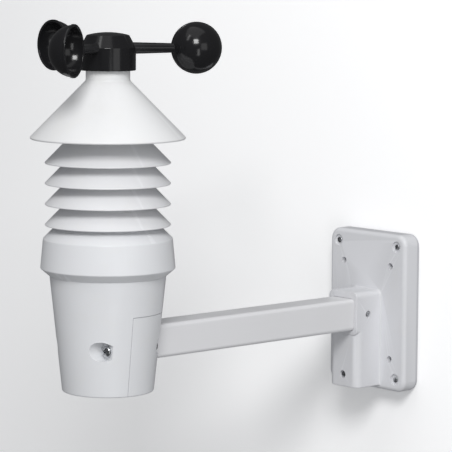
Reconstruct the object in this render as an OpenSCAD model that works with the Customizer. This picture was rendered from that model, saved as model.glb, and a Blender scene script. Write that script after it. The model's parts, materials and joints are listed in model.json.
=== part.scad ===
// Wall-mounted outdoor weather sensor: cup anemometer, louvred shield, base housing, square arm, bracket.
// The origin is the centre of the bracket's back face. +Y points into the wall and +Z points up.

/* [Wall bracket] */
// Width of the bracket plate
plate_w = 87.5; // [84:0.5:100]
// Height of the bracket plate
plate_h = 130; // [128:0.5:150]
// Thickness of the bracket plate with its back panel
plate_t = 16.5; // [15:0.5:20]
// Corner radius of the bracket plate
plate_corner = 9.5; // [8:0.5:11]
// Diameter of the wall screw holes
wall_hole_d = 5.2; // [4:0.1:6]
// Distance between the wall holes across the plate
wall_hole_dx = 54; // [50:1:58]
// Distance between the wall holes up the plate
wall_hole_dz = 77; // [70:1:80]
// Outer width of the arm socket
socket_w = 32.8; // [32:0.1:36]
// How far the arm socket stands out of the plate
socket_out = 27.4; // [25:0.2:30]
// Height of the lower end of the rib, below the arm's axis
rib_drop = 61.5; // [60:0.5:62]

/* [Arm] */
// Distance from the wall to the axis of the sensor
reach = 290.5; // [220:0.5:320]
// Outer width of the square arm
arm_w = 26; // [24:0.1:26.2]
// How far the arm's axis lies below the middle of the plate
arm_low = 0.8; // [0:0.1:1]
// Corner radius of the square arm
arm_corner = 3.2; // [2.6:0.1:4]
// Wall of the arm
arm_wall = 2; // [1.2:0.1:3]

/* [Housing] */
// Height of the housing's bottom, below the arm's axis
base_drop = 35; // [34:0.5:36]
// Outer radius at the bottom of the housing
base_r = 34.5; // [34:0.1:36]
// Outer radius at the top of the housing
body_top_r = 43.7; // [42.5:0.1:44]
// Height of the top of the housing
body_top_z = 52.1; // [51:0.1:54]
// Wall of the moulded shells
shell_wall = 2.2; // [1.8:0.1:2.4]
// Height of the rear cover's upper edge
cover_top_z = 25.2; // [24:0.1:28]
// Distance of the cover's seam in front of the sensor's axis
seam_front = 8.3; // [6:0.1:9]
// Gap along the cover's seam
seam_gap = 0.35; // [0.2:0.05:0.5]

/* [Radiation shield] */
// Largest radius of the collar
collar_r = 50.6; // [49:0.1:52]
// Height where the collar is widest
collar_low_z = 58; // [57:0.1:60]
// Radius of the collar at its shoulder
shoulder_r = 48.5; // [47:0.1:49]
// Height of the collar's shoulder
shoulder_z = 80.1; // [79:0.1:81]
// Number of louvre plates
louvre_count = 4; // [4:1:4]
// Radius of the louvre rims
louvre_r = 47; // [46:0.1:48]
// Height of the lowest louvre's rim
louvre_z = 90; // [90:0.1:91]
// Distance from one louvre to the next
louvre_pitch = 15.45; // [15.4:0.01:15.6]
// Thickness of a louvre's rounded rim
rim_h = 1.2; // [1:0.1:1.6]
// Radius of the cone cap's rim
cone_r = 58; // [56:0.1:60]
// Height of the cone cap's rim
cone_z = 155; // [155:0.1:156]
// Thickness of the cone cap's rounded rim
cone_rim_h = 2; // [1.8:0.1:2.4]
// Radius of the neck above the cone
neck_r = 16.5; // [16.3:0.1:17.2]

/* [Wind rotor] */
// Radius of the hub
hub_r = 20.8; // [20:0.1:22]
// Height of the hub's lower edge
hub_z = 205.5; // [205:0.1:206]
// Height of the hub's straight side
hub_side_h = 16.9; // [16:0.1:18]
// Radius of the hub's top
hub_top_r = 15.8; // [14:0.1:16]
// Height of the hub's bevel
hub_bevel_h = 9.2; // [8.5:0.1:10]
// Number of cups
cup_count = 3; // [3:1:3]
// Outer radius of a cup
cup_r = 18.9; // [18:0.1:20]
// Wall of a cup
cup_wall = 1.4; // [1.2:0.1:2]
// Distance from the rotor's axis to a cup's centre
cup_orbit = 66.7; // [62:0.1:75]
// Height of the cup centres
cup_z = 222; // [221:0.1:223]
// Angle of the first cup about the rotor's axis
cup_angle = 60.5; // [0:0.5:119]

/* [Hidden] */
$fn = 96;
eps = 0.02;

// Bracket
back_panel_t = 2.5;
panel_boss_r = 3.8;
panel_boss_h = 12;
bracket_wall = 2.5;
plate_fillet = 3.6;
corner_screw_in = 10.2;
corner_pocket_r = 4.7;
corner_pocket_depth = 1.6;
corner_head_r = 2.4;
post_r = 5.6;
socket_top = 17.6;
socket_corner = 4.5;
rib_set_back = 0.7;
rib_corner = 6.5;
rib_screw_z = -51.5;
rib_recess_r = 3.2;
rib_recess_depth = 2;
side_screw_out = 14.4;
side_recess_r = 2.7;
side_recess_depth = 1.4;
arm_fit = 0.2;
arm_stop_y = -6;
socket_front_y = -plate_t - socket_out;
rib_front_y = socket_front_y + rib_set_back;

// Small fasteners
small_screw_r = 1.25;
medium_screw_r = 1.5;
large_screw_r = 2;
screw_gap = 0.06;
cross_depth = 1.2;
cross_width = 0.9;

// Housing
slope = (body_top_r - base_r) / (body_top_z + base_drop);
base_edge = 1.2;
pocket_x = 26.4;
pocket_r = 7.3;
pocket_floor = 21;
pocket_wall = 1.8;
body_screw_head_r = 4.4;
body_screw_head_h = 3.6;
boss_r = 4.2;
clamp_front_y = -1;
clamp_back_y = 14;
clamp_wall = 2.2;
front_screw_end_y = 6;
rear_screw_end_y = 7;
cross_pin_y = 7.5;
cross_pin_r = 2;
seal_t = 1.2;
seal_w = 1.9;
drain_r = 1.5;
drain_y = 14;
spigot_r = body_top_r - shell_wall - 0.4;
spigot_wall = 1.8;
spigot_h = 4;

// Shield
shield_inner_r = 30;
ring_inner_r = 21.5;
ring_t = 2;
deck_z = shoulder_z + shoulder_r - shield_inner_r;
deck_hole_r = 10;
tie_orbit = 25.5;
tie_count = 3;
tie_angle = 30;
tie_boss_r = 3.4;
tie_head_r = 2.8;
tie_head_h = 2;
tie_end_z = 176;
louvre_ring_top = rim_h + louvre_r - shield_inner_r;
neck_base_z = cone_z + cone_rim_h + cone_r - neck_r;
neck_top_z = 211;

// Bearings and rotor
shaft_r = 2;
shaft_low_z = 172.5;
shaft_top_z = 229;
housing_r = 8.6;
housing_low_z = 172;
flange_r = 14;
flange_low_z = 208;
ledge_t = 2;
ledge_inner_r = 9.4;
bearing_r = 6.5;
bearing_h = 5;
race_t = 1.3;
ball_r = 1.1;
ball_orbit = 4.25;
ball_count = 7;
ball_gap = 0.05;
lower_bearing_z = 173.5;
upper_bearing_z = 205;
housing_screw_orbit = 12;
hub_wall = 2.4;
hub_boss_r = 5.2;
hub_boss_z = 213.5;
dome_h = 2.1;
arm_root_r = 4.4;
arm_tip_r = 3.35;
arm_root_x = 16;
arm_offset = 3;
cup_lip = 0.5;
cup_lip_h = 1.6;
magnet_orbit = 11.5;
magnet_r = 2.4;
magnet_h = 3;
magnet_z = 213.6;
reed_r = 1.1;
reed_len = 13;
reed_z = 203.4;

// Electronics
board_t = 1.6;
board_y = -24.8;
board_w = 42;
board_low_z = 12;
board_top_z = 50;
board_hole_x = 17;
board_hole_z = 45;
board_post_r = 3;
harness_r = 1.2;
harness_len = 138;
harness_orbit = 18;
harness_angle = -45;
sensor_board_w = 14;
sensor_board_h = 40;
sensor_chip = [6, 2, 5];
cage_r = 13;
cage_wall = 1.2;
cage_h = 40;
radio_size = [15, 2.5, 12];
coil_x = -12;
coil_r = 2.4;
coil_h = 26;
cell_r = 7.25;
cell_x = 8.3;
cell_y = -10.2;
cell_low_z = -26;
cell_len = 49;
nub_h = 1.5;
holder_w = 35;
holder_front_y = -19;
holder_back_y = -2.2;
holder_low_z = -29;
holder_top_z = 26;
holder_wall = 1.5;
button_x = 20.4;
button_z = 17;
button_r = 1.7;
button_tip_y = -9;
button_root_y = -19;
button_collar_r = 2.6;
guide_y = -15;
guide_t = 3;
guide_gap = 0.08;

// ---------- shared shapes ----------

// Outline of a rectangle with round corners, centred on the origin
function rounded_rect(w, h, r, n = 8) = [
    for (q = [0:3], i = [0:n])
        let (a = 90 * q + 90 * i / n, sx = (q == 0 || q == 3) ? 1 : -1, sy = q < 2 ? 1 : -1)
            [sx * (w / 2 - r) + r * cos(a), sy * (h / 2 - r) + r * sin(a)]];

// Moves its children to the sensor's own axis
module at_sensor() {
    translate([0, -reach, 0]) children();
}

// Puts its children on the cable's way up the shield
module at_harness() {
    rotate([0, 0, harness_angle]) translate([harness_orbit, 0, 0]) children();
}

// Moves its children down to the arm's axis
module at_arm() {
    translate([0, 0, -arm_low]) children();
}

// Turns a shape that rises along +Z so that it runs along +Y
module along_y() {
    rotate([-90, 0, 0]) children();
}

// Bar with round corners that runs along Y from y0 to y1
module bar_y(w, h, r, y0, y1) {
    translate([0, y0, 0]) along_y() linear_extrude(y1 - y0) polygon(rounded_rect(w, h, r));
}

// Round bar along Y from y0 to y1
module rod_y(r, x, z, y0, y1) {
    translate([x, y0, z]) along_y() cylinder(r = r, h = y1 - y0);
}

// Ring about the Z axis
module ring(outer, inner, z0, z1) {
    translate([0, 0, z0]) difference() {
        cylinder(r = outer, h = z1 - z0);
        translate([0, 0, -1]) cylinder(r = inner, h = z1 - z0 + 2);
    }
}

// Screw whose head starts at the origin and whose shank runs along +Z, with a cross recess
module screw(head_r, head_h, shank_r, length) {
    difference() {
        union() {
            translate([0, 0, -head_h]) cylinder(r1 = head_r * 0.78, r2 = head_r, h = head_h * 0.45);
            translate([0, 0, -head_h * 0.55]) cylinder(r = head_r, h = head_h * 0.55);
            translate([0, 0, -eps]) cylinder(r = shank_r, h = length + eps);
        }
        for (a = [45, 135])
            translate([0, 0, -head_h]) rotate([0, 0, a])
                cube([head_r * 1.2, cross_width, cross_depth * 2], center = true);
    }
}

// Puts its children on each of the shield's tie positions
module at_ties() {
    for (i = [0:tie_count - 1])
        rotate([0, 0, tie_angle + i * 360 / tie_count]) translate([tie_orbit, 0, 0]) children();
}

// Puts its children on the bearing housing's three screws
module at_housing_screws() {
    for (i = [0:2]) rotate([0, 0, 90 + 120 * i]) translate([housing_screw_orbit, 0, 0]) children();
}

// ---------- wall bracket ----------

module at_wall_holes() {
    for (x = [-1, 1], z = [-1, 1])
        translate([x * wall_hole_dx / 2, 0, z * wall_hole_dz / 2]) children();
}

module at_corner_screws() {
    for (x = [-1, 1], z = [-1, 1])
        translate([x * (plate_w / 2 - corner_screw_in), 0, z * (plate_h / 2 - corner_screw_in)])
            children();
}

module wall_back_plate() {
    panel_in = 0.5;
    color([0.72, 0.73, 0.76]) difference() {
        union() {
            bar_y(plate_w - 2 * panel_in, plate_h - 2 * panel_in, plate_corner, -back_panel_t, 0);
            rod_y(panel_boss_r, 0, rib_screw_z, -panel_boss_h, -back_panel_t + eps);
        }
        at_wall_holes() rod_y(wall_hole_d / 2, 0, 0, -20, 5);
        at_corner_screws() rod_y(small_screw_r + screw_gap, 0, 0, -20, 5);
        rod_y(medium_screw_r + screw_gap, 0, rib_screw_z, -20, -1);
    }
}

// Plate with a rounded front edge
module plate_skin() {
    steps = 5;
    hull() {
        bar_y(plate_w, plate_h, plate_corner, -back_panel_t - 1, -back_panel_t);
        for (i = [0:steps])
            let (a = 90 * i / steps, inset = plate_fillet * (1 - cos(a)))
                bar_y(plate_w - 2 * inset, plate_h - 2 * inset, plate_corner - inset,
                    -plate_t + plate_fillet * (1 - sin(a)), -back_panel_t - 1);
    }
}

module rib_outline(w, y_front, corner) {
    polygon(concat(
        [[w / 2, -back_panel_t], [-w / 2, -back_panel_t]],
        [for (i = [0:8]) let (a = 180 + 90 * i / 8)
            [-w / 2 + corner + corner * cos(a), y_front + corner + corner * sin(a)]],
        [for (i = [0:8]) let (a = 270 + 90 * i / 8)
            [w / 2 - corner + corner * cos(a), y_front + corner + corner * sin(a)]]));
}

module wall_bracket() {
    inner_w = plate_w - 2 * bracket_wall;
    inner_h = plate_h - 2 * bracket_wall;
    hollow_front_y = -plate_t + bracket_wall;
    side_y = -plate_t - side_screw_out;
    color([0.80, 0.81, 0.84]) difference() {
        union() {
            difference() {
                union() {
                    plate_skin();
                    bar_y(socket_w, 2 * socket_top, socket_corner, socket_front_y, -back_panel_t);
                    translate([0, 0, -rib_drop]) linear_extrude(rib_drop)
                        rib_outline(socket_w, rib_front_y, rib_corner);
                }
                difference() {
                    bar_y(inner_w, inner_h, plate_corner - bracket_wall, hollow_front_y, 1);
                    bar_y(socket_w, 2 * socket_top, socket_corner, -plate_t - 1, 1);
                }
                translate([0, 0, -rib_drop + bracket_wall])
                    linear_extrude(rib_drop - bracket_wall - socket_top)
                        rib_outline(socket_w - 2 * bracket_wall, rib_front_y + bracket_wall,
                            rib_corner - bracket_wall);
            }
            at_wall_holes() rod_y(post_r, 0, 0, hollow_front_y - eps, -back_panel_t);
            at_corner_screws() rod_y(post_r, 0, 0, hollow_front_y - eps, -back_panel_t);
            rod_y(boss_r, 0, rib_screw_z, rib_front_y + 1, -panel_boss_h);
        }
        at_arm() bar_y(arm_w + 2 * arm_fit, arm_w + 2 * arm_fit, arm_corner, socket_front_y - 1, arm_stop_y);
        at_wall_holes() rod_y(wall_hole_d / 2, 0, 0, -40, 5);
        at_corner_screws() {
            rod_y(small_screw_r + screw_gap, 0, 0, -40, 5);
            rod_y(corner_pocket_r, 0, 0, -plate_t - 1, -plate_t + corner_pocket_depth);
        }
        rod_y(medium_screw_r + screw_gap, 0, rib_screw_z, -60, -3);
        rod_y(rib_recess_r, 0, rib_screw_z, rib_front_y - 1, rib_front_y + rib_recess_depth);
        at_arm() for (side = [-1, 1]) translate([side * socket_w / 2, side_y, 0]) rotate([0, -side * 90, 0]) {
            translate([0, 0, -1]) cylinder(r = side_recess_r, h = 1 + side_recess_depth);
            cylinder(r = medium_screw_r + screw_gap, h = socket_w / 3);
        }
    }
}

module plate_screws() {
    color([0.62, 0.63, 0.65]) at_corner_screws()
        translate([0, -plate_t + corner_pocket_depth, 0]) along_y()
            screw(corner_head_r, 1.4, small_screw_r, plate_t - corner_pocket_depth - 1);
}

module socket_side_screws() {
    depth = socket_w / 2 - side_recess_depth;
    color([0.62, 0.63, 0.65]) at_arm() for (side = [-1, 1])
        translate([side * depth, -plate_t - side_screw_out, 0]) rotate([0, -side * 90, 0])
            screw(2.4, 1.2, medium_screw_r, depth - arm_w / 2 + arm_wall + 1);
}

module rib_screw() {
    head_y = rib_front_y + rib_recess_depth;
    color([0.62, 0.63, 0.65]) translate([0, head_y, rib_screw_z]) along_y()
        screw(2.7, 1.5, medium_screw_r, -head_y - 4);
}

// ---------- arm ----------

module arm_tube() {
    inner = arm_w - 2 * arm_wall;
    end_y = -reach + clamp_front_y + 2.2;
    color([0.82, 0.82, 0.83]) at_arm() difference() {
        bar_y(arm_w, arm_w, arm_corner, end_y, arm_stop_y);
        bar_y(inner, inner, arm_corner - arm_wall + 0.4, end_y - 1, arm_stop_y + 1);
        translate([0, -plate_t - side_screw_out, 0]) rotate([0, 90, 0])
            cylinder(r = medium_screw_r + screw_gap, h = arm_w + 2, center = true);
        translate([0, -reach + cross_pin_y, 0])
            cylinder(r = cross_pin_r + screw_gap, h = arm_w + 2, center = true);
    }
}

module arm_clamp() {
    socket = arm_w + 2 * arm_fit;
    outer = socket + 2 * clamp_wall;
    color([0.75, 0.75, 0.77]) at_sensor() difference() {
        union() {
            at_arm() bar_y(outer, outer, arm_corner + clamp_wall, clamp_front_y, clamp_back_y);
            for (side = [-1, 1]) rod_y(boss_r, side * pocket_x, 0, clamp_front_y, clamp_back_y);
            translate([-pocket_x, clamp_front_y, -2.5]) cube([2 * pocket_x, clamp_back_y - clamp_front_y, 5]);
        }
        at_arm() bar_y(socket, socket, arm_corner, clamp_front_y + 2, clamp_back_y + 1);
        for (side = [-1, 1]) rod_y(large_screw_r + screw_gap, side * pocket_x, 0, -20, 20);
        at_arm() translate([0, cross_pin_y, 0])
            cylinder(r = cross_pin_r + screw_gap, h = outer + 2, center = true);
    }
}

module arm_cross_pin() {
    color([0.62, 0.63, 0.65]) at_arm() translate([0, -reach + cross_pin_y, 0])
        cylinder(r = cross_pin_r, h = arm_w + 2 * clamp_wall, center = true);
}

// ---------- housing ----------

// Closed tapered tub, split later into the front shell and the rear cover
module tub() {
    function outer_r(z) = base_r + slope * (z + base_drop);
    bottom = -base_drop;
    rotate_extrude() polygon(concat(
        [[0, bottom]],
        [for (i = [0:4]) let (a = -90 + 90 * i / 4)
            [base_r - base_edge + base_edge * cos(a), bottom + base_edge + base_edge * sin(a)]],
        [[body_top_r, body_top_z], [body_top_r - shell_wall, body_top_z],
         [outer_r(bottom + shell_wall) - shell_wall, bottom + shell_wall], [0, bottom + shell_wall]]));
}

module rear_region(gap) {
    translate([-100, -seam_front + gap, -100]) cube([200, 200, 100 + cover_top_z - gap]);
}

// Walls of the screw pockets; side is -1 at the front and +1 at the back
module pocket_walls(side) {
    for (x = [-pocket_x, pocket_x])
        intersection() {
            y0 = side > 0 ? pocket_floor - pocket_wall : -60;
            y1 = side > 0 ? 60 : -pocket_floor + pocket_wall;
            rod_y(pocket_r + pocket_wall, x, 0, y0, y1);
            translate([0, 0, -base_drop + 3])
                cylinder(r1 = base_r - 0.6, r2 = body_top_r - 0.6, h = body_top_z + base_drop);
        }
}

module pocket_cut(side) {
    for (x = [-pocket_x, pocket_x]) {
        y0 = side > 0 ? pocket_floor : -80;
        y1 = side > 0 ? 80 : -pocket_floor;
        rod_y(pocket_r, x, 0, y0, y1);
        rod_y(large_screw_r + screw_gap, x, 0, side > 0 ? 0 : -40, side > 0 ? 40 : 0);
    }
}

module front_shell() {
    post_reach = 42;
    color([0.86, 0.87, 0.89]) at_sensor() difference() {
        union() {
            difference() {
                tub();
                rear_region(0);
            }
            pocket_walls(-1);
            for (x = [-pocket_x, pocket_x])
                rod_y(boss_r, x, 0, -pocket_floor + pocket_wall - eps, clamp_front_y);
            intersection() {
                for (x = [-board_hole_x, board_hole_x])
                    rod_y(board_post_r, x, board_hole_z, -post_reach, board_y);
                translate([0, 0, -base_drop]) cylinder(r1 = base_r - 1, r2 = body_top_r - 1,
                    h = body_top_z + base_drop);
            }
        }
        pocket_cut(-1);
        for (x = [-board_hole_x, board_hole_x])
            rod_y(small_screw_r + screw_gap, x, board_hole_z, board_y - 7, board_y + 1);
    }
}

module rear_cover() {
    sleeve = arm_w + 2 * arm_fit + 2 * clamp_wall;
    color([0.84, 0.85, 0.88]) at_sensor() difference() {
        union() {
            intersection() {
                tub();
                rear_region(seam_gap);
            }
            pocket_walls(1);
            for (x = [-pocket_x, pocket_x])
                rod_y(boss_r, x, 0, clamp_back_y, pocket_floor - pocket_wall + eps);
            at_arm() bar_y(sleeve, sleeve, arm_corner + clamp_wall, clamp_back_y, base_r - 1);
        }
        pocket_cut(1);
        at_arm() bar_y(arm_w + 2 * arm_fit, arm_w + 2 * arm_fit, arm_corner, clamp_back_y - 1, 60);
        translate([0, drain_y, -base_drop - 1]) cylinder(r = drain_r, h = 2 * shell_wall + 1);
    }
}

// Rubber strip behind the upper seam of the rear cover
module cover_seal() {
    seal_r = base_r + slope * (cover_top_z + base_drop) - shell_wall - 0.65;
    color([0.12, 0.12, 0.13]) at_sensor() intersection() {
        ring(seal_r, seal_r - seal_w, cover_top_z - 2, cover_top_z - 2 + seal_t);
        translate([-100, 0, 0]) cube([200, 100, 100]);
    }
}

module front_screws() {
    color([0.62, 0.63, 0.65]) at_sensor() for (x = [-pocket_x, pocket_x])
        translate([x, -pocket_floor, 0]) along_y()
            screw(body_screw_head_r, body_screw_head_h, large_screw_r, pocket_floor + front_screw_end_y);
}

module rear_screws() {
    color([0.62, 0.63, 0.65]) at_sensor() for (x = [-pocket_x, pocket_x])
        translate([x, pocket_floor, 0]) rotate([90, 0, 0])
            screw(body_screw_head_r, body_screw_head_h, large_screw_r, pocket_floor - rear_screw_end_y);
}

// ---------- radiation shield ----------

module collar() {
    color([0.87, 0.88, 0.90]) at_sensor() difference() {
        rotate_extrude() polygon([
            [body_top_r, body_top_z], [collar_r, collar_low_z], [shoulder_r, shoulder_z],
            [shield_inner_r, deck_z], [deck_hole_r, deck_z], [deck_hole_r, deck_z - ring_t],
            [shield_inner_r - 1, deck_z - ring_t], [shoulder_r - shell_wall, shoulder_z - 1],
            [collar_r - shell_wall, collar_low_z + 1], [spigot_r - spigot_wall, body_top_z + 1.2],
            [spigot_r - spigot_wall, body_top_z - spigot_h], [spigot_r - 0.5, body_top_z - spigot_h],
            [spigot_r, body_top_z]]);
        at_ties() translate([0, 0, deck_z - 10]) cylinder(r = medium_screw_r + screw_gap, h = 20);
        at_harness() translate([0, 0, deck_z - 10]) cylinder(r = harness_r + 0.6, h = 20);
    }
}

// Sloping louvre plate with a flat inner ring and three bosses that stand on the part below
module louvre(number) {
    low = louvre_z + (number - 1) * louvre_pitch;
    ring_top = low + louvre_ring_top;
    below = number == 1 ? deck_z : ring_top - louvre_pitch;
    edge = rim_h / 2;
    difference() {
        union() {
            rotate_extrude() polygon(concat(
                [for (i = [0:6]) let (a = -90 + 135 * i / 6)
                    [louvre_r - edge + edge * cos(a), low + edge + edge * sin(a)]],
                [[shield_inner_r, ring_top], [ring_inner_r, ring_top], [ring_inner_r, ring_top - ring_t],
                 [shield_inner_r - 0.8, ring_top - ring_t]]));
            at_ties() translate([0, 0, below]) cylinder(r = tie_boss_r, h = ring_top - below - eps);
        }
        at_ties() translate([0, 0, below - 1])
            cylinder(r = medium_screw_r + screw_gap, h = ring_top - below + 2);
    }
}

module louvre_1() {
    color([0.82, 0.83, 0.85]) at_sensor() louvre(1);
}

module louvre_2() {
    color([0.82, 0.83, 0.85]) at_sensor() louvre(2);
}

module louvre_3() {
    color([0.82, 0.83, 0.85]) at_sensor() louvre(3);
}

module louvre_4() {
    color([0.82, 0.83, 0.85]) at_sensor() louvre(4);
}

module shield_tie_screws() {
    head_z = deck_z - ring_t;
    color([0.62, 0.63, 0.65]) at_sensor() at_ties() translate([0, 0, head_z])
        screw(tie_head_r, tie_head_h, medium_screw_r, tie_end_z - head_z);
}

module top_cone() {
    stack_top = louvre_z + (louvre_count - 1) * louvre_pitch + louvre_ring_top;
    edge = cone_rim_h / 2;
    neck_inner = neck_r - shell_wall;
    boss_top = cone_z + cone_rim_h + cone_r - tie_orbit - tie_boss_r - 1;
    color([0.90, 0.90, 0.91]) at_sensor() difference() {
        union() {
            rotate_extrude() polygon(concat(
                [for (i = [0:6]) let (a = -90 + 135 * i / 6)
                    [cone_r - edge + edge * cos(a), cone_z + edge + edge * sin(a)]],
                [[neck_r, neck_base_z], [neck_r, neck_top_z], [neck_inner, neck_top_z],
                 [neck_inner, flange_low_z], [ledge_inner_r, flange_low_z],
                 [ledge_inner_r, flange_low_z - ledge_t], [neck_inner, flange_low_z - ledge_t],
                 [neck_inner, neck_base_z - 1]]));
            at_ties() translate([0, 0, stack_top]) cylinder(r = tie_boss_r, h = boss_top - stack_top);
        }
        at_ties() translate([0, 0, stack_top - 1])
            cylinder(r = medium_screw_r + screw_gap, h = tie_end_z - stack_top + 2);
        at_housing_screws() translate([0, 0, flange_low_z - 4]) cylinder(r = 0.9, h = 8);
    }
}

// ---------- bearings ----------

module bearing_housing() {
    shoulder_r_in = 5;
    color([0.35, 0.36, 0.38]) at_sensor() difference() {
        union() {
            translate([0, 0, housing_low_z]) cylinder(r = housing_r, h = neck_top_z - housing_low_z);
            translate([0, 0, flange_low_z]) cylinder(r = flange_r, h = neck_top_z - flange_low_z);
        }
        translate([0, 0, housing_low_z - 1]) cylinder(r = shoulder_r_in, h = 60);
        translate([0, 0, housing_low_z - 1])
            cylinder(r = bearing_r, h = lower_bearing_z + bearing_h - housing_low_z + 1);
        translate([0, 0, upper_bearing_z]) cylinder(r = bearing_r, h = 20);
        at_housing_screws() translate([0, 0, flange_low_z - 1]) cylinder(r = 1.1, h = 8);
    }
}

module housing_screws() {
    color([0.62, 0.63, 0.65]) at_sensor() at_housing_screws() translate([0, 0, neck_top_z])
        rotate([180, 0, 0]) screw(1.9, 1.3, 0.85, neck_top_z - flange_low_z + 1.8);
}

module bearing_race(z) {
    ring(bearing_r - screw_gap, bearing_r - race_t, z, z + bearing_h);
}

module lower_bearing_race() {
    color([0.70, 0.71, 0.73]) at_sensor() bearing_race(lower_bearing_z);
}

module upper_bearing_race() {
    color([0.70, 0.71, 0.73]) at_sensor() bearing_race(upper_bearing_z);
}

// Inner ring of a bearing with its balls, which turn with the shaft
module bearing_core(z) {
    ring(ball_orbit - ball_r + 0.15, shaft_r + 0.02, z, z + bearing_h);
    for (i = [0:ball_count - 1])
        rotate([0, 0, i * 360 / ball_count]) translate([ball_orbit - ball_gap, 0, z + bearing_h / 2])
            sphere(r = bearing_r - race_t - ball_orbit);
}

module lower_bearing_core() {
    color([0.70, 0.71, 0.73]) at_sensor() bearing_core(lower_bearing_z);
}

module upper_bearing_core() {
    color([0.70, 0.71, 0.73]) at_sensor() bearing_core(upper_bearing_z);
}

module reed_switch() {
    color([0.55, 0.75, 0.70]) at_sensor() rod_y(reed_r, magnet_orbit, reed_z, -reed_len / 2, reed_len / 2);
}

// ---------- electronics ----------

module sensor_board() {
    color([0.10, 0.42, 0.22]) at_sensor() translate([-sensor_board_w / 2, -board_t / 2, deck_z - 6])
        cube([sensor_board_w, board_t, sensor_board_h]);
}

module humidity_sensor() {
    color([0.9, 0.9, 0.88]) at_sensor()
        translate([-sensor_chip.x / 2, -board_t / 2 - sensor_chip.y, deck_z + 22])
            cube(sensor_chip);
}

module sensor_cage() {
    color([0.90, 0.90, 0.90]) at_sensor() difference() {
        ring(cage_r, cage_r - cage_wall, deck_z, deck_z + cage_h);
        for (a = [0:30:150], z = [4:9:31]) rotate([0, 0, a]) translate([-20, -2, deck_z + z]) cube([40, 4, 6]);
    }
}

module sensor_harness() {
    color([0.15, 0.15, 0.16]) at_sensor() at_harness() translate([0, 0, board_top_z + 2])
        cylinder(r = harness_r, h = harness_len);
}

module main_board() {
    color([0.10, 0.42, 0.22]) at_sensor() difference() {
        translate([-board_w / 2, board_y, board_low_z])
            cube([board_w, board_t, board_top_z - board_low_z]);
        for (x = [-board_hole_x, board_hole_x])
            rod_y(small_screw_r + screw_gap, x, board_hole_z, board_y - 1, board_y + 3);
    }
}

module board_screws() {
    color([0.62, 0.63, 0.65]) at_sensor() for (x = [-board_hole_x, board_hole_x])
        translate([x, board_y + board_t, board_hole_z]) rotate([90, 0, 0])
            screw(2.3, 1.4, small_screw_r, board_t + 6);
}

module radio_module() {
    color([0.75, 0.76, 0.78]) at_sensor() translate([-9, board_y + board_t, 30]) cube(radio_size);
}

module antenna_coil() {
    color([0.80, 0.52, 0.25]) at_sensor() translate([coil_x, board_y + board_t / 2, board_top_z])
        ring(coil_r, coil_r - 0.8, 0, coil_h);
}

module reset_switch() {
    color([0.15, 0.15, 0.16]) at_sensor() translate([button_x - 3, board_y + board_t, button_z - 3])
        cube([4.6, 3, 6]);
}

module battery_holder() {
    inner_w = holder_w - 2 * holder_wall;
    color([0.16, 0.16, 0.17]) at_sensor() difference() {
        union() {
            translate([-holder_w / 2, holder_front_y, holder_low_z])
                cube([holder_w, holder_back_y - holder_front_y, holder_top_z - holder_low_z]);
            translate([holder_w / 2 - eps, guide_y, button_z - 4]) cube([5.6, guide_t, 8]);
        }
        translate([-inner_w / 2, holder_front_y + 1.4, holder_low_z + holder_wall])
            cube([inner_w, 30, holder_top_z - holder_low_z - 2 * holder_wall + 0.3]);
        rod_y(button_r + guide_gap, button_x, button_z, guide_y - 1, guide_y + guide_t + 1);
    }
}

module battery_cells() {
    color([0.20, 0.32, 0.55]) at_sensor() for (side = [-1, 1])
        translate([side * cell_x, cell_y, cell_low_z]) {
            cylinder(r = cell_r, h = cell_len);
            cylinder(r = 2.75, h = cell_len + nub_h);
        }
}

module battery_contacts() {
    color([0.78, 0.70, 0.45]) at_sensor() for (side = [-1, 1]) translate([side * cell_x, cell_y, 0]) {
        translate([-5, -5, cell_low_z + cell_len + nub_h]) cube([10, 10, 0.3]);
        translate([-5, -5, holder_low_z + holder_wall]) cube([10, 10, 0.4]);
        translate([0, 0, holder_low_z + holder_wall + 0.4]) cylinder(r1 = 4, r2 = 3, h = 1.1);
    }
}

module reset_button() {
    color([0.75, 0.15, 0.12]) at_sensor() {
        rod_y(button_r, button_x, button_z, button_root_y, button_tip_y);
        rod_y(button_collar_r, button_x, button_z, guide_y - 1.8, guide_y - 0.3);
    }
}

// ---------- wind rotor ----------

module rotor_hub() {
    side_top = hub_z + hub_side_h;
    bevel_top = side_top + hub_bevel_h;
    inner_r = hub_r - hub_wall;
    color([0.10, 0.10, 0.11]) at_sensor() difference() {
        union() {
            difference() {
                rotate_extrude() polygon([
                    [0, bevel_top + dome_h], [hub_top_r * 0.4, bevel_top + dome_h * 0.85],
                    [hub_top_r * 0.75, bevel_top + dome_h * 0.45], [hub_top_r, bevel_top],
                    [hub_r, side_top], [hub_r, hub_z], [inner_r, hub_z], [inner_r, side_top - 1],
                    [hub_top_r - hub_wall, bevel_top - hub_wall], [0, bevel_top - hub_wall]]);
                at_cups() translate([arm_root_x, -arm_offset, cup_z]) rotate([0, 90, 0])
                    cylinder(r = arm_root_r + 0.05, h = 10);
            }
            translate([0, 0, hub_boss_z]) cylinder(r = hub_boss_r, h = bevel_top - hub_boss_z - 1);
            translate([magnet_orbit, 0, magnet_z + magnet_h])
                cylinder(r = magnet_r, h = bevel_top - magnet_z - magnet_h - hub_wall);
        }
        translate([0, 0, hub_boss_z - 1]) cylinder(r = shaft_r + 0.02, h = shaft_top_z - hub_boss_z + 1);
    }
}

module at_cups() {
    for (i = [0:cup_count - 1]) rotate([0, 0, cup_angle + i * 360 / cup_count]) children();
}

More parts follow.
